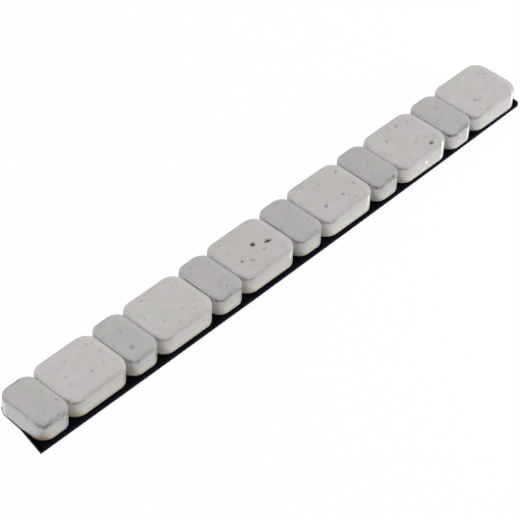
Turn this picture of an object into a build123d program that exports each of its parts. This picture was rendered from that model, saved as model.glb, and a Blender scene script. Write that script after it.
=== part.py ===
"""Self-adhesive wheel balance weight: a row of coated steel tablets, small and large in turn, on foam tape.

Millimetres. X runs along the row, from the first small tablet to the last large one. Y runs across it, and
Z is up. The origin is under the middle of the row, on the underside of the peel-off liner.
"""

from build123d import *
import os
from math import pi, radians, sin, sqrt, tan

# Tablets: a steel blank of this plan and height weighs 10 g if large and 5 g if small
pair_count = 6
tablet_width = 14.5
large_length = 17.43
small_length = 9.05
tablet_height = 5.3
tablet_gap = 0.16
large_corner_radius = 3.5
small_corner_radius = 3.05
side_edge_radius = 1.0
end_edge_radius = 0.4
top_edge_facets = 4
foot_bevel = 0.1

# How far each tablet sits off its even place, along and across the row, from the first pair to the last
small_offsets = [(0.13, -0.07), (0.0, -0.03), (0.03, -0.1), (0.05, 0.1), (0.05, 0.02), (0.05, -0.08)]
large_offsets = [(0.0, 0.05), (-0.13, -0.1), (-0.03, 0.13), (-0.05, 0.09), (0.0, -0.06), (-0.08, 0.05)]

# Foam tape and peel-off liner, cut together and therefore of one outline
tape_width = 15.18
foam_thickness = 0.75
liner_thickness = 0.1
tape_side_shift = -0.5
tape_skew = 0.31
tape_bow = 0.37

# Plain end of the tape, past the last tablet
plain_end_overhang = 0.8
plain_end_corner_radius = 1.2

# Cut end of the tape, snipped at a slant in two bites, with its far corner cut off.
# Overhangs are past the first tablet and negative under it, stations are across the row.
snip_near_overhang = 1.45
snip_middle_overhang = -0.25
snip_middle_station = 0.0
snip_far_overhang = -0.65
snip_far_station = 5.6
snip_corner_overhang = -1.4

foam_underside = liner_thickness
tablet_seat = foam_underside + foam_thickness
pair_pitch = small_length + large_length + 2 * tablet_gap
row_length = pair_count * pair_pitch - tablet_gap
row_start = -row_length / 2
row_end = row_length / 2


def edge_inset(drop, radius):
    """How far a rolled edge of this radius stands in at a drop below the top."""
    if drop >= radius:
        return 0
    return radius - sqrt(radius**2 - (radius - drop) ** 2)


def tablet_profile():
    """End inset, side inset and height of each plan, from the bevelled foot up to the rolled top edge."""
    levels = [(foot_bevel, foot_bevel, 0), (0, 0, foot_bevel)]
    for step in range(top_edge_facets + 1):
        drop = side_edge_radius * (1 - sin(pi / 2 * step / top_edge_facets))
        end_inset = edge_inset(drop, end_edge_radius)
        side_inset = edge_inset(drop, side_edge_radius)
        levels.append((end_inset, side_inset, tablet_height - drop))
    return levels


def tablet(length, corner_radius, even_centre, offset):
    """One tablet, lofted through rounded plans that narrow at the foot and over the rolled top edge."""
    along, across = offset
    with BuildPart() as blank:
        for end_inset, side_inset, height in tablet_profile():
            plan_length = length - 2 * end_inset
            plan_width = tablet_width - 2 * side_inset
            plan_corner = corner_radius - (end_inset + side_inset) / 2
            with BuildSketch(Plane((even_centre + along, across, tablet_seat + height))):
                RectangleRounded(plan_length, plan_width, plan_corner)
        loft(ruled=True)
    return blank


def tape_line(x, side):
    """Y of the tape's near (side -1) or far (side 1) edge at x, skewed and bowed against the row."""
    bow = tape_bow * (x / row_end) ** 2
    return tape_side_shift + side * tape_width / 2 + x * tan(radians(tape_skew)) + bow


def tape_layer(underside, thickness):
    """One layer of the tape: bowed long edges, one end snipped at a slant, one end with round corners."""
    near_start = row_start - snip_near_overhang
    far_start = row_start - snip_corner_overhang
    plain_end = row_end + plain_end_overhang
    with BuildPart() as layer:
        with BuildSketch(Plane.XY.offset(underside)):
            with BuildLine():
                near_edge = ThreePointArc(
                    (near_start, tape_line(near_start, -1)),
                    (0, tape_line(0, -1)),
                    (plain_end, tape_line(plain_end, -1)),
                )
                far_edge = ThreePointArc(
                    (far_start, tape_line(far_start, 1)),
                    (0, tape_line(0, 1)),
                    (plain_end, tape_line(plain_end, 1)),
                )
                Line(near_edge @ 1, far_edge @ 1)
                Polyline(
                    near_edge @ 0,
                    (row_start - snip_middle_overhang, snip_middle_station),
                    (row_start - snip_far_overhang, snip_far_station),
                    far_edge @ 0,
                )
            outline = make_face()
            fillet(outline.vertices().group_by(Axis.X)[-1], radius=plain_end_corner_radius)
        extrude(amount=thickness)
    return layer


os.makedirs("parts", exist_ok=True)

for pair in range(pair_count):
    pair_start = row_start + pair * pair_pitch
    small_centre = pair_start + small_length / 2
    large_centre = pair_start + small_length + tablet_gap + large_length / 2
    small_offset = small_offsets[pair % len(small_offsets)]
    large_offset = large_offsets[pair % len(large_offsets)]

    small_weight = tablet(small_length, small_corner_radius, small_centre, small_offset)
    small_weight.part.label = f"small_weight_{pair + 1}"
    export_step(small_weight.part, f"parts/small_weight_{pair + 1}.step")

    large_weight = tablet(large_length, large_corner_radius, large_centre, large_offset)
    large_weight.part.label = f"large_weight_{pair + 1}"
    export_step(large_weight.part, f"parts/large_weight_{pair + 1}.step")

foam_tape = tape_layer(foam_underside, foam_thickness)
foam_tape.part.label = "foam_tape"
export_step(foam_tape.part, "parts/foam_tape.step")

release_liner = tape_layer(0, liner_thickness)
release_liner.part.label = "release_liner"
export_step(release_liner.part, "parts/release_liner.step")
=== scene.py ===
"""Looks of a self-adhesive balance weight: coated steel tablets on black foam tape with a peel-off liner.

The scene is in metres, in the frame of the solids. Sizes below are in millimetres, and they are turned into
metres where they are used.
"""

import math
import random

import bmesh
import bpy
import numpy as np
from mathutils import Matrix, Vector, noise


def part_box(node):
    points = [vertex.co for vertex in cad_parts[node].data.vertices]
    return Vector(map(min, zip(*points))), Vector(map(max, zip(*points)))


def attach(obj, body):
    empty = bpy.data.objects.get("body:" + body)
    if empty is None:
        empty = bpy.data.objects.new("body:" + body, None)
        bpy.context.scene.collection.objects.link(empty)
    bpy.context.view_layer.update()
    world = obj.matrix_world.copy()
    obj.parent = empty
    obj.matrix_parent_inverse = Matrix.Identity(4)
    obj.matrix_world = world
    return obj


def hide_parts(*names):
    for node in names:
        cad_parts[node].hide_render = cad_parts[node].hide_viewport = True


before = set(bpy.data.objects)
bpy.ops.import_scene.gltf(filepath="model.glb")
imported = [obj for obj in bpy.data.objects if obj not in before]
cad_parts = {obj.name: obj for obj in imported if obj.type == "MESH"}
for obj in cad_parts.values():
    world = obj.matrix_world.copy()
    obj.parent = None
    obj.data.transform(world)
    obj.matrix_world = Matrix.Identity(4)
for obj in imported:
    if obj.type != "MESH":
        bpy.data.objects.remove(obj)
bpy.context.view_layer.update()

MM = 0.001
TINY = 1e-6
PAIRS = 6
ROW = [f"{kind}_weight_{pair + 1}" for pair in range(PAIRS) for kind in ("small", "large")]

# Tablet form, as on the solids
PLAN_CORNER_RADIUS = {"large": 3.5, "small": 3.05}
SIDE_EDGE_RADIUS = 1.0
END_EDGE_RADIUS = 0.4
FOOT_BEVEL = 0.1

# Mesh fineness of the tablets
CELL = 0.15
ROLL_STEPS = 12
WALL_STEPS = 26
FOOT_STEPS = 2

# Where the noise of each seed is read, so that no two tablets are alike
NOISE_SHIFT = (17.3, 5.1, 9.7)
PEEL_SEED = 40
EDGE_WEAR_SEED = 80
HIGHLIGHT_SEED = 120
FOAM_SEED = 3

# Unevenness of the coat, always inward from the solid's surface
WAVE_DEPTH = 0.018
WAVE_LENGTH = 3.4
PEEL_DEPTH = 0.006
PEEL_LENGTH = 0.7
EDGE_WEAR_DEPTH = 0.05
EDGE_WEAR_LENGTH = 1.9

# Painted shade line round the rolled edge: how far it lies below the top, and its strength at ends, sides
# and corners
EDGE_SHADE_END_DROP = 0.36
EDGE_SHADE_SIDE_DROP = 0.42
EDGE_SHADE_CORNER_DROP = 0.98
EDGE_SHADE_HALF_WIDTH_ELSEWHERE = 0.4
EDGE_SHADE_HALF_WIDTH = {"small_weight_1": 0.6}
OPEN_END_EDGE_SHADE = 1.05
EDGE_SHADE_STRENGTH = {"large": (0.18, 0.19, 0.62), "small": (0.32, 0.35, 0.96)}
EDGE_SHADE_FADE = 0.6

# How much stronger the painted shade line is at the left and right of some tablets' sides
EDGE_SHADE_LEAN = {
    "small_weight_1": (1.5, 1.25),
    "small_weight_3": (1.15, 1.0),
    "small_weight_6": (0.9, 1.9),
    "large_weight_1": (1.65, 0.75),
    "large_weight_2": (1.25, 0.55),
    "large_weight_3": (1.5, 0.75),
    "large_weight_4": (1.5, 0.6),
    "large_weight_6": (1.5, 1.0),
}

# Ends that no other tablet covers: -1 for the left end, 1 for the right end
OPEN_END = {"small_weight_1": -1, "large_weight_6": 1}

# How much darker than the palest tablet the top of each one is
TONE = {
    "small_weight_1": 0.12,
    "small_weight_2": 0.14,
    "small_weight_3": 0.19,
    "small_weight_4": 0.23,
    "small_weight_5": 0.3,
    "small_weight_6": 0.22,
    "large_weight_2": 0.04,
    "large_weight_3": 0.13,
    "large_weight_4": 0.15,
    "large_weight_5": 0.15,
    "large_weight_6": 0.11,
}

# Foot of the near wall: how fast its painted warm light fades upward, the strength of that painted light by
# tablet, and the height of the painted contact shade on it
FOOT_LIGHT_POWER = 2.5
FOOT_LIGHT_ELSEWHERE = 1.35
FOOT_LIGHT = {
    "small_weight_1": 0.95,
    "small_weight_4": 1.2,
    "small_weight_5": 1.1,
    "small_weight_6": 0.75,
    "large_weight_3": 1.65,
    "large_weight_4": 1.7,
    "large_weight_5": 0.95,
    "large_weight_6": 0.35,
}
FOOT_SHADE_HEIGHT = {
    "small_weight_1": 0.36,
    "small_weight_3": 0.22,
    "small_weight_5": 0.22,
    "small_weight_6": 0.2,
    "large_weight_1": 0.33,
    "large_weight_4": 0.2,
    "large_weight_5": 0.06,
    "large_weight_6": 0.5,
}
FOOT_SHADE_HEIGHT_ELSEWHERE = 0.27

# Painted contact shade on the foot: the shares of its height where it starts to thin and where it ends, its
# gain with a wall's facing, and where across the row it fades in on an open end
FOOT_SHADE_FULL = 0.6
FOOT_SHADE_GONE = 1.3
FOOT_SHADE_GAIN = 1.5
OPEN_FOOT_SHADE_SPAN = (-2, 4)

# Foot of the near left corner: strength of its brown darkening, how far up it reaches, and its painted shade
CORNER_FOOT_BROWN = {"small_weight_1": 0.8, "large_weight_1": 0.58, "small_weight_2": 0.2, "large_weight_3": 0.25}
CORNER_FOOT_REACH = 1.7
NOTCH_SHADE = {"small_weight_4": 0.38, "small_weight_5": 0.5, "large_weight_5": 0.2, "large_weight_6": 0.3}

# Painted highlight band on the top inside the right end: its strength, its distance from the edge and its
# half width
RIM_HIGHLIGHT = {"large": 0.11, "small": 0.05}
RIM_HIGHLIGHT_INSET = 0.95
RIM_HIGHLIGHT_HALF_WIDTH = 0.5
RIM_HIGHLIGHT_DROP = 0.5

# Joints: painted shade on the rolled edges beside them, how far it reaches, which walls count as right-hand
# joint walls, and how much painted light fills each joint inside, from left to right
JOINT_SHADE = 0.42
JOINT_SHADE_REACH = 0.46
JOINT_FACING = (0.7, 0.9)
JOINT_LIGHT = [1.0, 0.95, 0.75, 0.95, 0.75, 0.55, 0.5, 0.6, 1.0, 0.75, 0.75]

# Upright corners with a painted highlight streak: side along x and y, where up the wall the streak starts
# and ends as shares of the height, and its strength
HIGHLIGHT_CORNERS = {
    "small_weight_1": (-1, 1, -0.2, 0.8, 0.6),
    "large_weight_3": (1, -1, 0.6, 0.95, 1),
    "large_weight_4": (1, -1, 0.35, 0.95, 1),
    "large_weight_5": (1, -1, 0.1, 1.0, 1),
    "small_weight_6": (1, -1, 0.2, 0.95, 1),
    "large_weight_6": (1, -1, 0.3, 1.0, 1),
}

# Painted highlight streak on a corner: its fade up the wall, its limits round the corner, and its patches
HIGHLIGHT_FADE = 0.1
HIGHLIGHT_CORNERING = 0.25
HIGHLIGHT_TURN = (0.15, 0.42)
HIGHLIGHT_PATCH_LEAST = 0.6
HIGHLIGHT_PATCH_SPAN = (0.35, 0.6)
HIGHLIGHT_PATCH_LENGTH = 1.2

# Painted highlight spots on near walls: x from the tablet's middle, height over its foot, width and height
# of the spot
HIGHLIGHT_SPOTS = {
    "large_weight_4": [(6.7, 3.1, 0.6, 0.7)],
    "large_weight_5": [(-0.1, 2.6, 1.3, 0.95), (-1.2, 1.4, 0.6, 0.4)],
}

# Form of a pit, in half sizes from its middle: where its flat floor ends, where its lip ends, how far it can
# reach, and the unevenness of its rim
PIT_FLOOR = 0.3
PIT_LIP = 1.15
PIT_REACH = 1.6
PIT_RIM_LEAST = 0.8
PIT_RIM_SPREAD = 0.4
PIT_RIM_LENGTH = 0.45

# Fine pits scattered over each tablet
FINE_PITS_PER_MM2 = 0.035
FINE_PIT_RADIUS = (0.12, 0.27)
FINE_PIT_STRETCH = 1.3
FINE_PIT_DEPTH = 0.3
FINE_PIT_SHADE = (0.06, 0.34)

# Larger pits: x and y from the tablet's middle, length, width, turn in degrees, and shade from 0 to 1
LARGE_PITS = {
    "small_weight_1": [
        (3.2, -3.1, 1.0, 0.9, 45, 0.3),
        (-1.5, -4.5, 2.0, 1.0, 45, 0.1),
    ],
    "large_weight_1": [
        (-4.1, -6.9, 0.9, 0.6, 35, 0.45),
        (-4.3, 0.0, 1.1, 0.8, 45, 0.3),
        (1.0, -2.5, 1.1, 0.9, 60, 0.3),
        (-5.0, -2.5, 2.0, 1.0, 15, 0.15),
        (5.5, 4.0, 1.5, 0.8, 30, 0.2),
        (-1.0, 3.5, 1.2, 0.8, 30, 0.2),
        (6.7, 0.6, 1.4, 0.6, 45, 0.2),
        (4.5, -2.5, 1.5, 0.8, 45, 0.15),
    ],
    "small_weight_2": [
        (-1.3, -3.4, 1.7, 1.1, 50, 0.35),
        (0.3, 1.8, 1.2, 1.0, 45, 0.2),
        (-0.4, -2.0, 1.1, 0.8, 135, 0.15),
    ],
    "large_weight_2": [
        (-6.5, 0.6, 0.9, 0.7, 45, 0.25),
        (-3.0, 5.1, 1.1, 0.7, 140, 0.2),
        (-1.6, -5.3, 1.5, 0.8, 45, 0.15),
        (-3.8, -2.7, 1.5, 0.9, 30, 0.15),
        (1.6, -2.6, 1.5, 1.0, 135, 0.15),
        (5.4, -2.5, 1.5, 1.0, 135, 0.1),
    ],
    "small_weight_3": [
        (-0.2, -6.9, 0.7, 0.5, 0, 0.3),
        (0.3, -4.7, 1.1, 0.7, 30, 0.3),
        (-0.8, -3.3, 1.0, 0.8, 120, 0.2),
        (-1.5, 4.9, 1.2, 1.0, 60, 0.2),
    ],
    "large_weight_3": [
        (4.3, -1.3, 2.2, 1.15, 165, 1.0),
        (1.0, 0.3, 1.7, 1.4, 30, 1.0),
        (-4.8, -1.9, 1.2, 1.0, 45, 0.6),
        (-2.8, -3.2, 1.4, 1.1, 75, 0.3),
        (1.7, -2.6, 1.2, 0.9, 135, 0.35),
        (-4.8, 2.0, 1.1, 0.8, 30, 0.1),
    ],
    "small_weight_4": [
        (2.7, -3.0, 0.9, 0.7, 60, 0.25),
        (-0.7, 5.0, 1.6, 0.7, 45, 0.1),
    ],
    "large_weight_4": [
        (-4.2, -2.8, 1.5, 1.0, 30, 0.5),
        (1.7, -2.8, 1.1, 1.0, 120, 0.4),
        (6.2, 3.6, 1.6, 0.7, 40, 0.4),
        (6.4, -1.9, 1.3, 0.9, 75, 0.3),
        (-0.2, 3.4, 1.1, 0.8, 135, 0.2),
        (0.5, -5.9, 1.0, 0.7, 40, 0.2),
        (3.0, -5.4, 0.9, 0.7, 40, 0.2),
        (2.3, -3.8, 1.2, 0.8, 30, 0.2),
        (-4.0, 0.0, 1.3, 0.8, 30, 0.1),
    ],
    "small_weight_5": [
        (1.3, -6.8, 1.3, 0.9, 30, 0.6),
        (0.8, 0.8, 2.0, 1.0, 45, 0.1),
        (-2.0, -3.0, 1.4, 1.0, 60, 0.1),
    ],
    "large_weight_5": [
        (3.7, -5.2, 1.9, 1.4, 10, 0.7),
        (2.1, 4.6, 1.6, 1.4, 60, 0.3),
        (-3.7, 2.5, 1.4, 0.9, 30, 0.3),
        (1.1, -2.6, 1.3, 1.0, 135, 0.3),
        (5.3, 3.7, 1.7, 0.7, 40, 0.2),
        (-4.5, -5.6, 1.1, 0.8, 40, 0.2),
        (-0.5, 5.0, 1.5, 0.7, 45, 0.15),
        (2.7, -1.8, 2.2, 1.4, 45, 0.1),
    ],
    "small_weight_6": [
        (-0.6, -6.9, 0.7, 0.5, 0, 0.25),
        (1.1, -6.9, 0.9, 0.5, 0, 0.3),
        (2.3, -6.9, 1.0, 0.5, 0, 0.3),
        (0.5, 2.2, 1.1, 0.9, 60, 0.25),
        (1.7, -3.1, 0.9, 0.7, 30, 0.2),
        (-3.2, 1.2, 3.5, 1.0, 85, 0.1),
    ],
    "large_weight_6": [
        (-3.2, -2.6, 2.0, 0.8, 175, 0.3),
        (-2.4, -3.4, 1.5, 0.8, 120, 0.2),
        (-1.3, -2.7, 1.1, 0.8, 150, 0.2),
        (2.5, -4.0, 1.3, 0.8, 45, 0.15),
        (6.1, 2.2, 1.5, 0.9, 60, 0.15),
        (5.6, 3.5, 1.3, 0.8, 135, 0.15),
        (-5.0, 2.9, 1.2, 0.8, 30, 0.1),
        (-4.7, -5.7, 0.9, 0.7, 45, 0.15),
        (-3.5, -6.6, 1.2, 0.7, 20, 0.2),
        (5.3, -6.9, 1.6, 0.6, 10, 0.3),
    ],
}
LARGE_PIT_DEPTH = 0.32

# Colours that all tablets share
PINK_TINT = (0.55, 0.475, 0.512, 1)
GREEN_TINT = (0.482, 0.514, 0.424, 1)
SPECK_COLOUR = (0.64, 0.625, 0.615, 1)
# Painted warm light on the foot of the near wall, peach and green
PEACH_FOOT_LIGHT = (0.77, 0.70, 0.62, 1)
GREEN_FOOT_LIGHT = (0.69, 0.735, 0.60, 1)
# Brown darkening towards the foot of the near left corner
CORNER_FOOT_COLOUR = (0.49, 0.338, 0.11, 1)
# Pits, and the painted contact shade on the foot
PIT_COLOUR = (0.025, 0.02, 0.02, 1)
# Painted highlight, and its roughness
HIGHLIGHT_COLOUR = (0.92, 0.92, 0.92, 1)
HIGHLIGHT_ROUGHNESS = 0.6
# Painted light inside the joints
JOINT_LIGHT_COLOUR = (0.67, 0.665, 0.655, 1)
# Painted cool light on the open ends
OPEN_END_COOL_LIGHT = (0.53, 0.57, 0.59, 1)
# Tone of the tops, also used for painted shade beside the joints and at the near left corner's foot
TONE_AND_SHADE_COLOUR = (0.245, 0.242, 0.245, 1)

# Coat: blob length of each noise, the span of the noise that counts, and how much of it shows
CLOUD_LENGTH = 2.6
CLOUD_SPAN = (0.35, 0.65)
PINK_LENGTH = 4.2
GREEN_LENGTH = 5.1
TINT_SPAN = (0.4, 0.7)
GRAIN_LENGTH = 0.22
GRAIN_SPAN = (0.62, 0.74)
GRAIN_SHARE = 0.06
SPECK_LENGTH = 0.75
SPECK_SPAN = (0.6, 0.76)
SPECK_SHARE = 0.45
# Painted warm light on the foot: noise length and span that mix its two tints, and its share
FOOT_LIGHT_TINT_LENGTH = 3.5
FOOT_LIGHT_TINT_SPAN = (0.42, 0.58)
FOOT_LIGHT_TINT_SHARE = 0.9
# Painted cool light on the open ends: its share
OPEN_END_LIGHT_SHARE = 0.45
# Painted shade line round the top edge: noise length, span and range of its strength
EDGE_SHADE_LENGTH = 0.9
EDGE_SHADE_SPAN = (0.34, 0.62)
EDGE_SHADE_RANGE = (0.45, 1.15)
FOOT_METAL = 0.3
COAT_IOR = 1.5
SATIN_LENGTH = 0.9
SATIN_SPAN = (0.3, 0.7)
SATIN_ROUGHNESS = (0.32, 0.44)
COAT_BUMP_LENGTH = 0.16
COAT_BUMP_DEPTH = 0.006
COAT_BUMP_STRENGTH = 0.6

# Foam tape: fineness of its outline, and the open cells of its cut edge
TAPE_STEP = 0.3
TAPE_RINGS = 7
TAPE_LIP = 0.06
TAPE_RIM = 0.7
CELL_DEPTH = 0.06
CELL_LENGTH = 0.34

# Reading the tape's outline off its solid: distance within which points are one, and how level a face is
WELD = 0.001
LEVEL_NORMAL = 0.9

# Foam: dark and light colours of its face and of its cut edge, and its finish
FOAM_LENGTH = 0.25
FOAM_SPAN = (0.3, 0.7)
FOAM_FACE = ((0.0004, 0.0003, 0.0007, 1), (0.0011, 0.001, 0.0018, 1))
FOAM_EDGE = ((0.0018, 0.0015, 0.0085, 1), (0.0045, 0.0038, 0.0145, 1))
FOAM_SPECULAR = 0.06
FOAM_ROUGHNESS = (0.6, 0.85)
FOAM_BUMP_DEPTH = 0.05
FOAM_BUMP_STRENGTH = 0.7

# Liner: light and dark colours of its paper, and its finish
FIBRE_LENGTH = 0.6
FIBRE_SPAN = (0.35, 0.65)
LINER_COLOURS = ((0.78, 0.78, 0.76, 1), (0.70, 0.70, 0.68, 1))
LINER_IOR = 1.45
LINER_SPAN = (0.3, 0.7)
LINER_ROUGHNESS = (0.32, 0.45)
LINER_BUMP_DEPTH = 0.01
LINER_BUMP_STRENGTH = 0.5

# Camera, fitted to the photograph: where it looks from, and how far the row's middle lies off its axis
VIEW_HEADING = 49.76
VIEW_ELEVATION = 43.45
VIEW_ROLL = 3.72
VIEW_DISTANCE = 557.5
VIEW_OFFSET = (3.66, 2.72)
LENS = 168.2
SENSOR_WIDTH = 36
CLIP_START = 10

# Studio: white floor, sky that is dimmer round the camera, and a low lamp at the right
WHITE = (1, 1, 1, 1)
FLOOR_COLOUR = (0.95, 0.95, 0.95, 1)
FLOOR_HALF_SIZE = 2000
FLOOR_DROP = 0.02
FLOOR_GLOW = 0.96
FLOOR_LIGHT = 0.925
SKY_STRENGTH = 1.0
SKY_TINT = (1.0, 0.975, 0.965, 1)
DIM_ELEVATION = 5
DIM_STRENGTH = 0.43
DIM_FROM = 0.5
DIM_TO = 0.97
FILL_PLACE = (160, -140, 50)
FILL_AIM = (60, 0, 0)
FILL_SIZE = 100
FILL_POWER = 0.163
FILL_TINT = (0.91, 0.95, 1.0)


# Meshes


def smoothstep(low, high, value):
    """0 below low, 1 above high, and a smooth rise between them."""
    share = np.clip((value - low) / (high - low), 0, 1)
    return share * share * (3 - 2 * share)


def bell(distance, half_width):
    """1 at a distance of 0, falling off smoothly over about the half width."""
    return np.exp(-((distance / half_width) ** 2))


def noise_at(points, length, seed):
    """Soft noise from 0 to 1 at points in millimetres, with blobs of about the given length."""
    shift = Vector([part * seed for part in NOISE_SHIFT])
    values = [noise.noise(Vector(p) / length + shift) for p in points]
    return 0.5 + 0.5 * np.clip(np.array(values), -1, 1)


def mesh_object(name, points, faces):
    """A smooth-shaded object from points in millimetres."""
    mesh = bpy.data.meshes.new(name)
    mesh.from_pydata([tuple(p) for p in points * MM], [], faces)
    mesh.validate()
    mesh.shade_smooth()
    piece = bpy.data.objects.new(name, mesh)
    bpy.context.scene.collection.objects.link(piece)
    return piece


def point_normals(piece):
    """The outward direction at each point of a piece."""
    normals = np.empty(3 * len(piece.data.vertices), np.float32)
    piece.data.vertex_normals.foreach_get("vector", normals)
    return normals.reshape(-1, 3)


def point_values(piece, name, values):
    """Stores one number for each point of a piece, for its material to read."""
    layer = piece.data.attributes.new(name, "FLOAT", "POINT")
    layer.data.foreach_set("value", np.asarray(values, np.float32))


# Tablets


def plan_outline(length, width, corner):
    """Goes round a plan, from the middle of its near left corner.

    Gives each point's centre of curvature, from -1 to 1 each way, its outward direction, and the counts of
    steps along x and along y.
    """
    reach = np.array([length / 2, width / 2]) - corner
    arc_steps = round(math.pi / 4 * corner / CELL)
    corners = np.array([(-1, -1), (1, -1), (1, 1), (-1, 1)], float)
    spots, angles = [], []
    for side, start in enumerate(corners):
        end = corners[(side + 1) % 4]
        straight_steps = round(float(np.abs((end - start) * reach).sum()) / CELL)
        facing = 270 + 90 * side
        for k in range(arc_steps):
            spots.append(start)
            angles.append(facing - 45 + 45 * k / arc_steps)
        for k in range(straight_steps):
            spots.append(start + (end - start) * k / straight_steps)
            angles.append(facing)
        for k in range(arc_steps):
            spots.append(end)
            angles.append(facing + 45 * k / arc_steps)
    turn = np.radians(angles)
    x_steps = 2 * arc_steps + round(2 * reach[0] / CELL)
    y_steps = 2 * arc_steps + round(2 * reach[1] / CELL)
    return np.array(spots), np.stack([np.cos(turn), np.sin(turn)], 1), x_steps, y_steps


def edge_inset(drop, radius):
    """How far a rolled edge of this radius stands in at a drop below the top."""
    if drop >= radius:
        return 0.0
    return radius - math.sqrt(radius**2 - (radius - drop) ** 2)


def top_grid(loop, nx, ny):
    """Fills a closed loop of 2 (nx + ny) points with a grid of (nx + 1) by (ny + 1) points."""
    closed = np.vstack([loop, loop[:1]])
    near = closed[: nx + 1]
    right = closed[nx : nx + ny + 1]
    far = closed[nx + ny : 2 * nx + ny + 1][::-1]
    left = closed[2 * nx + ny :][::-1]
    u = np.linspace(0, 1, nx + 1)[:, None, None]
    v = np.linspace(0, 1, ny + 1)[None, :, None]
    across = (1 - v) * near[:, None] + v * far[:, None]
    along = (1 - u) * left[None] + u * right[None]
    corners = (1 - u) * ((1 - v) * near[0] + v * far[0]) + u * ((1 - v) * near[-1] + v * far[-1])
    return across + along - corners


def grid_faces(nx, ny):
    """The faces of a top grid."""
    columns = ny + 1
    faces = []
    for i in range(nx):
        for j in range(ny):
            first = i * columns + j
            faces.append((first, first + columns, first + columns + 1, first + 1))
    return faces


def grid_rim(nx, ny):
    """The points round a top grid, in the order of its loop."""
    columns = ny + 1
    near = [i * columns for i in range(nx)]
    right = [nx * columns + j for j in range(ny)]
    far = [i * columns + ny for i in range(nx, 0, -1)]
    left = [j for j in range(ny, 0, -1)]
    return near + right + far + left


def wall_rings(height):
    """End inset, side inset and height of each ring of points, from below the top down to the foot."""
    rings = []
    for k in range(1, ROLL_STEPS + 1):
        drop = SIDE_EDGE_RADIUS * (1 - math.cos(math.pi / 2 * k / ROLL_STEPS))
        end_inset = edge_inset(drop, END_EDGE_RADIUS)
        side_inset = edge_inset(drop, SIDE_EDGE_RADIUS)
        rings.append((end_inset, side_inset, height - drop))
    wall_top = height - SIDE_EDGE_RADIUS
    for k in range(1, WALL_STEPS + 1):
        rings.append((0.0, 0.0, wall_top + (FOOT_BEVEL - wall_top) * k / WALL_STEPS))
    for k in range(1, FOOT_STEPS + 1):
        bevel = FOOT_BEVEL * k / FOOT_STEPS
        rings.append((bevel, bevel, FOOT_BEVEL - bevel))
    return rings


def tablet_surface(length, width, height, corner):
    """Points and faces of a tablet that stands at z = 0.

    The last value says how much each point belongs to an upright corner, from 0 to 1.
    """
    spots, outward, nx, ny = plan_outline(length, width, corner)
    half = np.array([length / 2, width / 2])
    count = len(spots)

    def loop(end_inset, side_inset):
        radius = corner - (end_inset + side_inset) / 2
        return spots * (half - (end_inset, side_inset) - radius) + outward * radius

    grid = top_grid(loop(END_EDGE_RADIUS, SIDE_EDGE_RADIUS), nx, ny).reshape(-1, 2)
    levels = [np.column_stack([grid, np.full(len(grid), height)])]
    faces = grid_faces(nx, ny)
    ring = grid_rim(nx, ny)
    rings = wall_rings(height)
    start = len(grid)
    for end_inset, side_inset, z in rings:
        levels.append(np.column_stack([loop(end_inset, side_inset), np.full(count, z)]))
        below = list(range(start, start + count))
        for k in range(count):
            after = (k + 1) % count
            faces.append((ring[k], below[k], below[after], ring[after]))
        ring = below
        start += count
    faces.append(tuple(reversed(ring)))
    on_corner = np.abs(2 * outward[:, 0] * outward[:, 1])
    cornering = np.concatenate([np.zeros(len(grid)), np.tile(on_corner, len(rings))])
    return np.vstack(levels), faces, cornering


class Blank:
    """A tablet's plain surface, standing at z = 0 round the z axis, and what its marks follow from."""

    def __init__(self, node, seed):
        low, high = (np.array(corner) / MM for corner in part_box(node))
        self.node = node
        self.seed = seed
        self.kind = node.split("_")[0]
        self.open_side = OPEN_END.get(node, 0)
        self.seat = np.array([(low[0] + high[0]) / 2, (low[1] + high[1]) / 2, low[2]])
        self.length, self.width, self.height = high - low
        self.corner = PLAN_CORNER_RADIUS[self.kind]
        surface = tablet_surface(self.length, self.width, self.height, self.corner)
        self.points, self.faces, self.cornering = surface
        self.drop = self.height - self.points[:, 2]
        self.normals = None


def painted_edge_shade(blank):
    """How strong the painted shade line round the rolled edge is at each point."""
    points, normals = blank.points, blank.normals
    sideways = np.abs(normals[:, 1]) / np.maximum(np.hypot(normals[:, 0], normals[:, 1]), TINY)
    straight = EDGE_SHADE_END_DROP + (EDGE_SHADE_SIDE_DROP - EDGE_SHADE_END_DROP) * sideways
    line = straight + (EDGE_SHADE_CORNER_DROP - straight) * blank.cornering
    half_width = EDGE_SHADE_HALF_WIDTH.get(blank.node, EDGE_SHADE_HALF_WIDTH_ELSEWHERE)
    on_end, on_side, at_corner = EDGE_SHADE_STRENGTH[blank.kind]
    on_end = on_end * np.where(points[:, 0] * blank.open_side > 0, OPEN_END_EDGE_SHADE, 1)
    at_left, at_right = EDGE_SHADE_LEAN.get(blank.node, (1, 1))
    lean = at_left + (at_right - at_left) * (points[:, 0] / blank.length + 0.5)
    on_straight = on_end + (on_side * lean - on_end) * sideways
    edge_shade = bell(blank.drop - line, half_width) * (blank.drop > 0)
    edge_shade *= on_straight + (at_corner - on_straight) * blank.cornering**2
    return edge_shade


def joint_walls(blank):
    """How far each point belongs to a wall inside a joint, from 0 to 1."""
    endward = blank.normals[:, 0]
    left_joint = np.clip(-endward - blank.cornering, 0, 1)
    right_joint = smoothstep(*JOINT_FACING, endward)
    joint = np.maximum(left_joint, right_joint) * (blank.drop > 0)
    joint[endward * blank.open_side > 0] = 0
    return joint


def joint_painted_light(blank):
    """How much painted light fills the joint that each point faces."""
    place = ROW.index(blank.node)
    left_light = JOINT_LIGHT[place - 1] if place else 0
    right_light = JOINT_LIGHT[place] if place < len(JOINT_LIGHT) else 0
    return np.where(blank.normals[:, 0] < 0, left_light, right_light)


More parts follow.
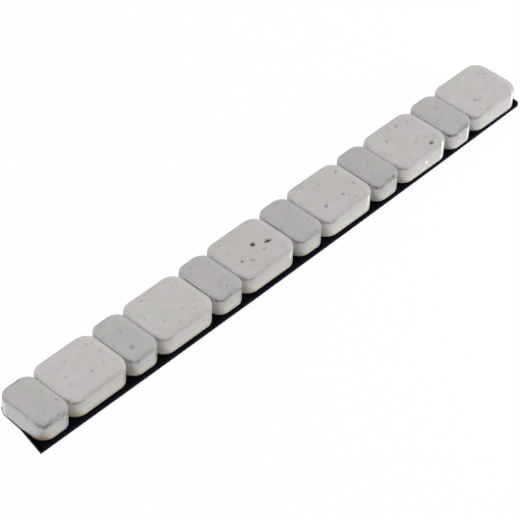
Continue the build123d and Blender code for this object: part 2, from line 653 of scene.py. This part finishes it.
def coat_unevenness(blank, edge_shade):
    """How far the coat lies inside the solid's surface at each point, before its pits."""
    points, seed = blank.points, blank.seed
    sink = WAVE_DEPTH * noise_at(points, WAVE_LENGTH, seed)
    sink += PEEL_DEPTH * noise_at(points, PEEL_LENGTH, seed + PEEL_SEED)
    sink += EDGE_WEAR_DEPTH * edge_shade * noise_at(points, EDGE_WEAR_LENGTH, seed + EDGE_WEAR_SEED)
    return sink


def pit_shape(points, centre, length, width, turn, seed):
    """How deep each point lies in one pit, from 0 to 1, with an uneven rim."""
    away = points - centre
    cosine = math.cos(math.radians(turn))
    sine = math.sin(math.radians(turn))
    along = (away[:, 0] * cosine + away[:, 1] * sine) / (length / 2)
    across = (away[:, 1] * cosine - away[:, 0] * sine) / (width / 2)
    up = away[:, 2] / (width / 2)
    reach = np.sqrt(along**2 + across**2 + up**2)
    close = np.flatnonzero(reach < PIT_REACH)
    depth = np.zeros(len(points))
    if len(close):
        rim = PIT_RIM_LEAST + PIT_RIM_SPREAD * noise_at(points[close], PIT_RIM_LENGTH, seed)
        depth[close] = 1 - smoothstep(PIT_FLOOR, PIT_LIP, reach[close] / rim)
    return depth


def pits(blank):
    """Each pit of a tablet, larger ones first: its shape from 0 to 1, its greatest depth and its shade."""
    points, seed = blank.points, blank.seed
    for k, (x, y, long, wide, turn, dark) in enumerate(LARGE_PITS.get(blank.node, [])):
        centre = np.array((x, y, blank.height))
        yield pit_shape(points, centre, long, wide, turn, seed + k), LARGE_PIT_DEPTH * dark, dark
    draw = random.Random(seed)
    area = blank.length * blank.width + 2 * (blank.length + blank.width) * blank.height
    for k in range(round(FINE_PITS_PER_MM2 * area)):
        centre = points[draw.randrange(len(points))]
        radius = draw.uniform(*FINE_PIT_RADIUS)
        dark = draw.uniform(*FINE_PIT_SHADE)
        turn = draw.uniform(0, 180)
        long = FINE_PIT_STRETCH * 2 * radius
        yield pit_shape(points, centre, long, 2 * radius, turn, seed + k), FINE_PIT_DEPTH * radius, dark


def painted_foot_shade(blank):
    """How dark the painted contact shade on the foot makes each point of the near wall and of an open end.
    """
    points, normals = blank.points, blank.normals
    shade_height = FOOT_SHADE_HEIGHT.get(blank.node, FOOT_SHADE_HEIGHT_ELSEWHERE)
    foot_shade = 1 - smoothstep(FOOT_SHADE_FULL * shade_height, FOOT_SHADE_GONE * shade_height, points[:, 2])
    open_wall = np.clip(FOOT_SHADE_GAIN * normals[:, 0] * blank.open_side, 0, 1)
    open_foot = open_wall * smoothstep(*OPEN_FOOT_SHADE_SPAN, points[:, 1])
    near_foot = np.clip(-FOOT_SHADE_GAIN * normals[:, 1], 0, 1)
    return foot_shade * np.maximum(open_foot, near_foot)


def painted_rim_highlight(blank):
    """How far each point lies on the painted highlight band inside the right end and its corners, from 0 to
    1.
    """
    points = blank.points
    past = np.abs(points[:, :2]) - np.array([blank.length / 2, blank.width / 2]) + blank.corner
    outside = np.maximum(past, 0)
    away = np.hypot(outside[:, 0], outside[:, 1])
    from_edge = blank.corner - away - np.minimum(past.max(axis=1), 0)
    endward = outside[:, 0] / np.maximum(away, TINY) * (points[:, 0] > 0)
    return endward * bell(from_edge - RIM_HIGHLIGHT_INSET, RIM_HIGHLIGHT_HALF_WIDTH)


def painted_corner_highlight(blank):
    """How bright the painted highlight streak on a tablet's upright corner is at each point."""
    points, normals = blank.points, blank.normals
    side_x, side_y, bottom, top, strength = HIGHLIGHT_CORNERS[blank.node]
    share = points[:, 2] / blank.height
    upright = smoothstep(bottom - HIGHLIGHT_FADE, bottom, share)
    upright *= 1 - smoothstep(top - HIGHLIGHT_FADE, top, share)
    quarter = (points[:, 0] * side_x > 0) & (points[:, 1] * side_y > 0)
    turned = np.abs(normals[:, 0] if side_y < 0 else normals[:, 1])
    streak = smoothstep(0, HIGHLIGHT_CORNERING, blank.cornering) * (1 - smoothstep(*HIGHLIGHT_TURN, turned))
    patches = noise_at(points, HIGHLIGHT_PATCH_LENGTH, blank.seed + HIGHLIGHT_SEED)
    patchy = HIGHLIGHT_PATCH_LEAST + (1 - HIGHLIGHT_PATCH_LEAST) * smoothstep(*HIGHLIGHT_PATCH_SPAN, patches)
    return strength * patchy * streak * upright * quarter


def painted_highlights(blank):
    """How bright each point's painted highlight is: the band at the right end, an upright corner and spots.
    """
    painted_highlight = painted_rim_highlight(blank) * RIM_HIGHLIGHT[blank.kind] * (blank.drop < RIM_HIGHLIGHT_DROP)
    if blank.node in HIGHLIGHT_CORNERS:
        painted_highlight = np.maximum(painted_highlight, painted_corner_highlight(blank))
    for x, z, wide, tall in HIGHLIGHT_SPOTS.get(blank.node, []):
        centre = np.array((x, z, -blank.width / 2))
        spot = pit_shape(blank.points[:, [0, 2, 1]], centre, wide, tall, 0, blank.seed)
        painted_highlight = np.maximum(painted_highlight, spot)
    return painted_highlight


def corner_foot(blank):
    """How far each point belongs to the foot of the near left corner, from 0 to 1."""
    near_left = (blank.normals[:, 0] < 0) & (blank.normals[:, 1] < 0)
    return bell(blank.points[:, 2], CORNER_FOOT_REACH) * blank.cornering * near_left


def top_tone_and_shade(blank):
    """How much darker each point of the top is, from its tone and from the painted shade beside the joints.
    """
    from_end = blank.length / 2 - np.abs(blank.points[:, 0])
    joint_shade = JOINT_SHADE * bell(from_end, JOINT_SHADE_REACH)
    joint_shade[blank.points[:, 0] * blank.open_side > 0] = 0
    return (TONE.get(blank.node, 0) + joint_shade) * np.clip(blank.normals[:, 2], 0, 1)


def painted_foot_light(blank):
    """How strong the painted warm light on the foot of the near wall is at each point."""
    low_down = np.clip(1 - blank.points[:, 2] / (blank.height - SIDE_EDGE_RADIUS), 0, 1)
    pale = FOOT_LIGHT.get(blank.node, FOOT_LIGHT_ELSEWHERE)
    return np.clip(pale * low_down**FOOT_LIGHT_POWER * np.clip(-blank.normals[:, 1], 0, 1), 0, 1)


def press_in(piece, blank, sink):
    """Moves a tablet's points inward by their sink, except on the bevel of its foot."""
    sink = np.where(blank.points[:, 2] > FOOT_BEVEL, sink, 0)
    shaped = (blank.points - blank.normals * sink[:, None] + blank.seat) * MM
    piece.data.vertices.foreach_set("co", shaped.astype(np.float32).ravel())
    piece.data.update()


def tablet(node, seed):
    """A coated tablet in place of its solid, with an uneven coat, painted shade round its top edge, painted
    highlights on its corners, and pits.
    """
    blank = Blank(node, seed)
    piece = mesh_object("coated_" + node, blank.points + blank.seat, blank.faces)
    blank.normals = point_normals(piece)
    endward = blank.normals[:, 0]
    joint = joint_walls(blank)
    edge_shade = painted_edge_shade(blank)
    edge_shade *= (1 - joint) * (1 - EDGE_SHADE_FADE * np.clip(endward, 0, 1))

    sink = coat_unevenness(blank, edge_shade)
    shade = np.zeros(len(blank.points))
    for shape, depth, dark in pits(blank):
        sink += depth * shape
        shade = np.maximum(shade, dark * shape)
    press_in(piece, blank, sink)

    # Brown darkening and painted shade at the foot of the near left corner
    corner_dark = corner_foot(blank)
    # Pits and the painted contact shade on the foot darken the same way
    point_values(piece, "pit", np.maximum(shade, painted_foot_shade(blank)))
    # Painted shade line round the rolled edge
    point_values(piece, "edge_shade", edge_shade)
    # Painted highlights
    point_values(piece, "painted_highlight", painted_highlights(blank))
    # Painted light inside the joints
    point_values(piece, "joint", joint * joint_painted_light(blank))
    point_values(piece, "corner_dark", CORNER_FOOT_BROWN.get(node, 0) * corner_dark)
    # Painted cool light on the open ends
    point_values(piece, "open_end_cool_light", np.clip(endward * blank.open_side, 0, 1))
    # Tone of the tops, with painted shade beside the joints and at the near left corner's foot
    point_values(piece, "tone_and_shade", top_tone_and_shade(blank) + NOTCH_SHADE.get(node, 0) * corner_dark)
    # Painted warm light on the foot of the near wall
    point_values(piece, "foot", painted_foot_light(blank))
    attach(piece, "root")
    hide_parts(node)
    return piece


# Tape


def outline_of(node):
    """The corner points, in order, of the outline of a flat node, in millimetres."""
    flat = bmesh.new()
    flat.from_mesh(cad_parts[node].data)
    weld = WELD * MM
    bmesh.ops.remove_doubles(flat, verts=flat.verts, dist=weld)
    top = max(v.co.z for v in flat.verts)
    rim = {}
    for face in flat.faces:
        if face.normal.z <= LEVEL_NORMAL or face.calc_center_median().z <= top - weld:
            continue
        for loop in face.loops:
            if loop.link_loop_radial_next.face.normal.z < LEVEL_NORMAL:
                rim[loop.vert.index] = loop.link_loop_next.vert.index
    place = {v.index: np.array(v.co[:2]) / MM for v in flat.verts}
    flat.free()
    first = next(iter(rim))
    order = [place[first]]
    here = rim[first]
    while here != first:
        order.append(place[here])
        here = rim[here]
    return np.array(order)


def even_steps(corners, step):
    """A closed outline divided into steps of about the given length, keeping its corners."""
    points = []
    for a, b in zip(corners, np.roll(corners, -1, axis=0)):
        parts = max(1, round(float(np.linalg.norm(b - a)) / step))
        points += [a + (b - a) * k / parts for k in range(parts)]
    return np.array(points)


def foam_tape():
    """The foam tape in place of its solid, with soft lips and open cells along its cut edge."""
    low, high = (np.array(corner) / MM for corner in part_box("foam_tape"))
    outline = even_steps(outline_of("foam_tape"), TAPE_STEP)
    ahead = np.roll(outline, -1, axis=0) - np.roll(outline, 1, axis=0)
    inward = np.stack([-ahead[:, 1], ahead[:, 0]], 1)
    inward /= np.linalg.norm(inward, axis=1)[:, None]
    count = len(outline)
    rings = [(high[2], TAPE_RIM)]
    for ring in range(TAPE_RINGS):
        lip = TAPE_LIP if ring in (0, TAPE_RINGS - 1) else 0
        rings.append((high[2] + (low[2] - high[2]) * ring / (TAPE_RINGS - 1), lip))
    points, faces = [], []
    for z, inset in rings:
        level = np.column_stack([outline, np.full(count, z)])
        cells = CELL_DEPTH * noise_at(level, CELL_LENGTH, FOAM_SEED)
        points.append(np.column_stack([outline + inward * (cells + inset)[:, None], level[:, 2]]))
    for ring in range(TAPE_RINGS):
        upper, lower = ring * count, (ring + 1) * count
        for k in range(count):
            after = (k + 1) % count
            faces.append((upper + k, lower + k, lower + after, upper + after))
    faces.append(tuple(range(count)))
    faces.append(tuple(reversed(range(TAPE_RINGS * count, (TAPE_RINGS + 1) * count))))
    piece = mesh_object("cut_foam_tape", np.vstack(points), faces)
    point_values(piece, "cut", np.repeat(np.arange(TAPE_RINGS + 1) > 0, count))
    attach(piece, "root")
    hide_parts("foam_tape")
    return piece


# Materials


class Shader:
    """A material's node tree, with short calls to add and join its nodes."""

    def __init__(self, name):
        self.material = bpy.data.materials.new(name)
        self.material.use_nodes = True
        self.tree = self.material.node_tree
        self.surface = self.tree.nodes["Principled BSDF"]

    def add(self, kind, settings=None, **inputs):
        """A new node with its settings, and its inputs joined or set."""
        node = self.tree.nodes.new(kind)
        for key, value in (settings or {}).items():
            setattr(node, key, value)
        for key, value in inputs.items():
            self.feed(node.inputs[key.replace("_", " ")], value)
        return node

    def feed(self, socket, value):
        """Joins an output to a socket, or sets the socket to a constant."""
        if isinstance(value, bpy.types.NodeSocket):
            self.tree.links.new(value, socket)
        else:
            socket.default_value = value

    def set(self, **inputs):
        """Joins or sets inputs of the material's surface."""
        for key, value in inputs.items():
            self.feed(self.surface.inputs[key.replace("_", " ")], value)

    def noise(self, length, detail=3.0):
        """Noise from 0 to 1 with blobs of about the given length in millimetres."""
        place = self.add("ShaderNodeTexCoord").outputs["Object"]
        scale = 1 / (length * MM)
        return self.add("ShaderNodeTexNoise", Vector=place, Scale=scale, Detail=detail).outputs["Fac"]

    def span(self, value, low, high, to_low=0.0, to_high=1.0):
        """A value's run from low to high, turned into a run between two other numbers."""
        inputs = {"From_Min": low, "From_Max": high, "To_Min": to_low, "To_Max": to_high}
        return self.add("ShaderNodeMapRange", Value=value, **inputs).outputs["Result"]

    def mix(self, share, a, b):
        """Colour a where the share is 0, and b where it is 1."""
        node = self.add("ShaderNodeMix", {"data_type": "RGBA"})
        self.feed(node.inputs[0], share)
        self.feed(node.inputs[6], a)
        self.feed(node.inputs[7], b)
        return node.outputs[2]

    def times(self, a, b):
        """The product of two values."""
        node = self.add("ShaderNodeMath", {"operation": "MULTIPLY"})
        self.feed(node.inputs[0], a)
        self.feed(node.inputs[1], b)
        return node.outputs[0]

    def values(self, name):
        """The numbers stored at the points of a piece under this name."""
        return self.add("ShaderNodeAttribute", {"attribute_name": name}).outputs["Fac"]

    def bump(self, height, depth, strength):
        """Bump of the given depth in millimetres."""
        node = self.add("ShaderNodeBump", Height=height, Distance=depth * MM, Strength=strength)
        return node.outputs["Normal"]


def coat(name, light, dark, edge, metal, edge_metal, mottle):
    """Satin grey coat on steel: cloudy, with painted warm light at the foot, painted shade round the top
    edge, and dark pits.
    """
    shader = Shader(name)
    clouds = shader.span(shader.noise(CLOUD_LENGTH, detail=4.0), *CLOUD_SPAN)
    colour = shader.mix(clouds, light, dark)
    pink = shader.span(shader.noise(PINK_LENGTH, detail=1.0), *TINT_SPAN, 0.0, mottle)
    colour = shader.mix(pink, colour, PINK_TINT)
    green = shader.span(shader.noise(GREEN_LENGTH, detail=1.0), *TINT_SPAN, 0.0, mottle)
    colour = shader.mix(green, colour, GREEN_TINT)
    grain = shader.span(shader.noise(GRAIN_LENGTH, detail=2.0), *GRAIN_SPAN)
    colour = shader.mix(shader.times(grain, GRAIN_SHARE), colour, edge)
    specks = shader.span(shader.noise(SPECK_LENGTH, detail=2.0), *SPECK_SPAN)
    colour = shader.mix(shader.times(specks, SPECK_SHARE), colour, SPECK_COLOUR)
    # Tone of the tops, with painted shade beside the joints and at the near left corner's foot
    colour = shader.mix(shader.values("tone_and_shade"), colour, TONE_AND_SHADE_COLOUR)
    # Painted warm light on the foot of the near wall
    greenish = shader.span(shader.noise(FOOT_LIGHT_TINT_LENGTH), *FOOT_LIGHT_TINT_SPAN)
    foot_light_tint = shader.mix(greenish, PEACH_FOOT_LIGHT, GREEN_FOOT_LIGHT)
    colour = shader.mix(shader.times(shader.values("foot"), FOOT_LIGHT_TINT_SHARE), colour, foot_light_tint)
    # Painted light inside the joints
    colour = shader.mix(shader.values("joint"), colour, JOINT_LIGHT_COLOUR)
    # Painted cool light on the open ends
    colour = shader.mix(shader.times(shader.values("open_end_cool_light"), OPEN_END_LIGHT_SHARE), colour, OPEN_END_COOL_LIGHT)
    # Brown darkening towards the foot of the near left corner
    colour = shader.mix(shader.values("corner_dark"), colour, CORNER_FOOT_COLOUR)
    # Painted shade round the top edge, in the edge colour, which also makes the coat more metallic there
    uneven = shader.span(shader.noise(EDGE_SHADE_LENGTH), *EDGE_SHADE_SPAN, *EDGE_SHADE_RANGE)
    edge_shade_share = shader.times(shader.values("edge_shade"), uneven)
    colour = shader.mix(edge_shade_share, colour, edge)
    # Painted highlights on corners, spots and the right end's band, smoother and not metallic
    colour = shader.mix(shader.values("painted_highlight"), colour, HIGHLIGHT_COLOUR)
    # Pits, and the painted contact shade on the foot
    colour = shader.mix(shader.values("pit"), colour, PIT_COLOUR)
    unhighlighted = shader.span(shader.values("painted_highlight"), 0.0, 1.0, 1.0, 0.0)
    bare = shader.times(shader.span(edge_shade_share, 0.0, 1.0, metal, edge_metal), unhighlighted)
    bare = shader.times(bare, shader.span(shader.values("foot"), 0.0, 1.0, 1.0, FOOT_METAL))
    shader.set(Base_Color=colour, Metallic=bare, IOR=COAT_IOR)
    satin = shader.span(shader.noise(SATIN_LENGTH), *SATIN_SPAN, *SATIN_ROUGHNESS)
    polish = shader.span(shader.values("painted_highlight"), 0.0, 1.0, 1.0, HIGHLIGHT_ROUGHNESS)
    shader.set(Roughness=shader.times(satin, polish))
    ripple = shader.noise(COAT_BUMP_LENGTH, detail=2.0)
    shader.set(Normal=shader.bump(ripple, COAT_BUMP_DEPTH, COAT_BUMP_STRENGTH))
    return shader.material


def black_foam():
    """Matt black closed-cell foam, neutral on its face and bluish on its cut edge."""
    shader = Shader("black_foam_look")
    cells = shader.noise(FOAM_LENGTH, detail=2.0)
    face = shader.mix(shader.span(cells, *FOAM_SPAN), *FOAM_FACE)
    edge = shader.mix(shader.span(cells, *FOAM_SPAN), *FOAM_EDGE)
    colour = shader.mix(shader.values("cut"), face, edge)
    shader.set(Base_Color=colour, Specular_IOR_Level=FOAM_SPECULAR)
    shader.set(Roughness=shader.span(cells, *FOAM_SPAN, *FOAM_ROUGHNESS))
    shader.set(Normal=shader.bump(cells, FOAM_BUMP_DEPTH, FOAM_BUMP_STRENGTH))
    return shader.material


def liner_paper():
    """White release paper with a faint fibre and a silicone sheen."""
    shader = Shader("liner_paper_look")
    fibre = shader.noise(FIBRE_LENGTH, detail=5.0)
    colour = shader.mix(shader.span(fibre, *FIBRE_SPAN), *LINER_COLOURS)
    shader.set(Base_Color=colour, IOR=LINER_IOR)
    shader.set(Roughness=shader.span(fibre, *LINER_SPAN, *LINER_ROUGHNESS))
    shader.set(Normal=shader.bump(fibre, LINER_BUMP_DEPTH, LINER_BUMP_STRENGTH))
    return shader.material


# Pieces

large_coat = coat(
    "large_coat_look",
    light=(0.549, 0.53, 0.528, 1),
    dark=(0.496, 0.481, 0.482, 1),
    # Colour of the painted shade round the top edge, also used for the grain
    edge=(0.074, 0.07, 0.066, 1),
    metal=0.3,
    edge_metal=0.6,
    mottle=0.5,
)
small_coat = coat(
    "small_coat_look",
    light=(0.477, 0.469, 0.48, 1),
    dark=(0.434, 0.426, 0.44, 1),
    # Colour of the painted shade round the top edge, also used for the grain
    edge=(0.066, 0.0615, 0.0615, 1),
    metal=0.4,
    edge_metal=0.7,
    mottle=0.42,
)

for pair in range(1, PAIRS + 1):
    small = tablet(f"small_weight_{pair}", 2 * pair)
    small.data.materials.append(small_coat)
    large = tablet(f"large_weight_{pair}", 2 * pair + 1)
    large.data.materials.append(large_coat)

tape = foam_tape()
tape.data.materials.append(black_foam())

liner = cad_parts["release_liner"]
liner.data.materials.clear()
liner.data.materials.append(liner_paper())


# Stage, light and camera


def seen_or_mirrored(nodes, links):
    """A socket that is 1 for rays from the camera and for reflections, and 0 for plain light."""
    path = nodes.new("ShaderNodeLightPath")
    either = nodes.new("ShaderNodeMath")
    either.operation = "MAXIMUM"
    links.new(path.outputs["Is Camera Ray"], either.inputs[0])
    links.new(path.outputs["Is Glossy Ray"], either.inputs[1])
    return either.outputs[0]


def floor_white():
    """A white that glows, and still takes a faint shadow."""
    material = bpy.data.materials.new("floor_white")
    material.use_nodes = True
    nodes, links = material.node_tree.nodes, material.node_tree.links
    nodes.clear()
    out = nodes.new("ShaderNodeOutputMaterial")
    diffuse = nodes.new("ShaderNodeBsdfDiffuse")
    diffuse.inputs["Color"].default_value = FLOOR_COLOUR
    level = nodes.new("ShaderNodeMapRange")
    level.inputs["To Min"].default_value = FLOOR_LIGHT
    links.new(seen_or_mirrored(nodes, links), level.inputs["Value"])
    glow = nodes.new("ShaderNodeEmission")
    glow.inputs["Color"].default_value = WHITE
    links.new(level.outputs["Result"], glow.inputs["Strength"])
    blend = nodes.new("ShaderNodeMixShader")
    blend.inputs[0].default_value = FLOOR_GLOW
    links.new(diffuse.outputs[0], blend.inputs[1])
    links.new(glow.outputs[0], blend.inputs[2])
    links.new(blend.outputs[0], out.inputs["Surface"])
    return material


def white_floor():
    """A wide floor just under the strip."""
    corners = [(-1, -1), (1, -1), (1, 1), (-1, 1)]
    half = FLOOR_HALF_SIZE * MM
    mesh = bpy.data.meshes.new("floor")
    mesh.from_pydata([(x * half, y * half, -FLOOR_DROP * MM) for x, y in corners], [], [(0, 1, 2, 3)])
    mesh.materials.append(floor_white())
    floor = bpy.data.objects.new("floor", mesh)
    bpy.context.scene.collection.objects.link(floor)


def studio_world(dim_direction):
    """Soft light all round, dimmer round one direction; plain white to the camera and in reflections."""
    world = bpy.data.worlds.new("studio")
    bpy.context.scene.world = world
    world.use_nodes = True
    nodes, links = world.node_tree.nodes, world.node_tree.links
    nodes.clear()
    out = nodes.new("ShaderNodeOutputWorld")
    direction = nodes.new("ShaderNodeTexCoord").outputs["Generated"]
    facing = nodes.new("ShaderNodeVectorMath")
    facing.operation = "DOT_PRODUCT"
    facing.inputs[1].default_value = dim_direction
    links.new(direction, facing.inputs[0])
    dim = nodes.new("ShaderNodeMapRange")
    dim.interpolation_type = "SMOOTHSTEP"
    dim.inputs["From Min"].default_value = DIM_FROM
    dim.inputs["From Max"].default_value = DIM_TO
    dim.inputs["To Min"].default_value = SKY_STRENGTH
    dim.inputs["To Max"].default_value = DIM_STRENGTH
    links.new(facing.outputs["Value"], dim.inputs["Value"])
    around = nodes.new("ShaderNodeBackground")
    around.inputs["Color"].default_value = SKY_TINT
    links.new(dim.outputs["Result"], around.inputs["Strength"])
    plain = nodes.new("ShaderNodeBackground")
    plain.inputs["Color"].default_value = WHITE
    blend = nodes.new("ShaderNodeMixShader")
    links.new(seen_or_mirrored(nodes, links), blend.inputs[0])
    links.new(around.outputs[0], blend.inputs[1])
    links.new(plain.outputs[0], blend.inputs[2])
    links.new(blend.outputs[0], out.inputs["Surface"])


def side_light():
    """A square area lamp, low at the right, that shows neither itself nor its reflection."""
    lamp = bpy.data.lights.new("side_light", "AREA")
    lamp.size = FILL_SIZE * MM
    lamp.energy = FILL_POWER
    lamp.color = FILL_TINT
    place = Vector([part * MM for part in FILL_PLACE])
    aim = Vector([part * MM for part in FILL_AIM])
    box = bpy.data.objects.new("side_light", lamp)
    box.location = place
    box.rotation_euler = (aim - place).to_track_quat("-Z", "Y").to_euler()
    box.visible_glossy = False
    box.visible_camera = False
    bpy.context.scene.collection.objects.link(box)


def view_axes():
    """Right, up and forward of the camera."""
    heading, tilt, roll = (math.radians(a) for a in (VIEW_HEADING, VIEW_ELEVATION, VIEW_ROLL))
    level = Vector((math.sin(heading), math.cos(heading), 0))
    right = Vector((math.cos(heading), -math.sin(heading), 0))
    forward = math.cos(tilt) * level - math.sin(tilt) * Vector((0, 0, 1))
    up = math.sin(tilt) * level + math.cos(tilt) * Vector((0, 0, 1))
    turned_right = math.cos(roll) * right + math.sin(roll) * up
    turned_up = math.cos(roll) * up - math.sin(roll) * right
    return turned_right, turned_up, forward


def camera_side(elevation):
    """Direction from the row toward the side that the camera stands on, at the given elevation."""
    heading, tilt = math.radians(VIEW_HEADING), math.radians(elevation)
    along = -math.sin(heading) * math.cos(tilt)
    across = -math.cos(heading) * math.cos(tilt)
    return Vector((along, across, math.sin(tilt)))


def photo_camera():
    """The camera that the photograph was taken with, as fitted."""
    right, up, forward = view_axes()
    lens = bpy.data.cameras.new("photo_camera")
    lens.sensor_width = SENSOR_WIDTH
    lens.lens = LENS
    lens.clip_start = CLIP_START * MM
    camera = bpy.data.objects.new("photo_camera", lens)
    turn = Matrix((right, up, -forward)).transposed()
    place = -(right * VIEW_OFFSET[0] + up * VIEW_OFFSET[1] + forward * VIEW_DISTANCE) * MM
    camera.matrix_world = Matrix.Translation(place) @ turn.to_4x4()
    bpy.context.scene.collection.objects.link(camera)
    bpy.context.scene.camera = camera


white_floor()
studio_world(dim_direction=camera_side(DIM_ELEVATION))
side_light()
photo_camera()
bpy.context.scene.view_settings.view_transform = "Standard"
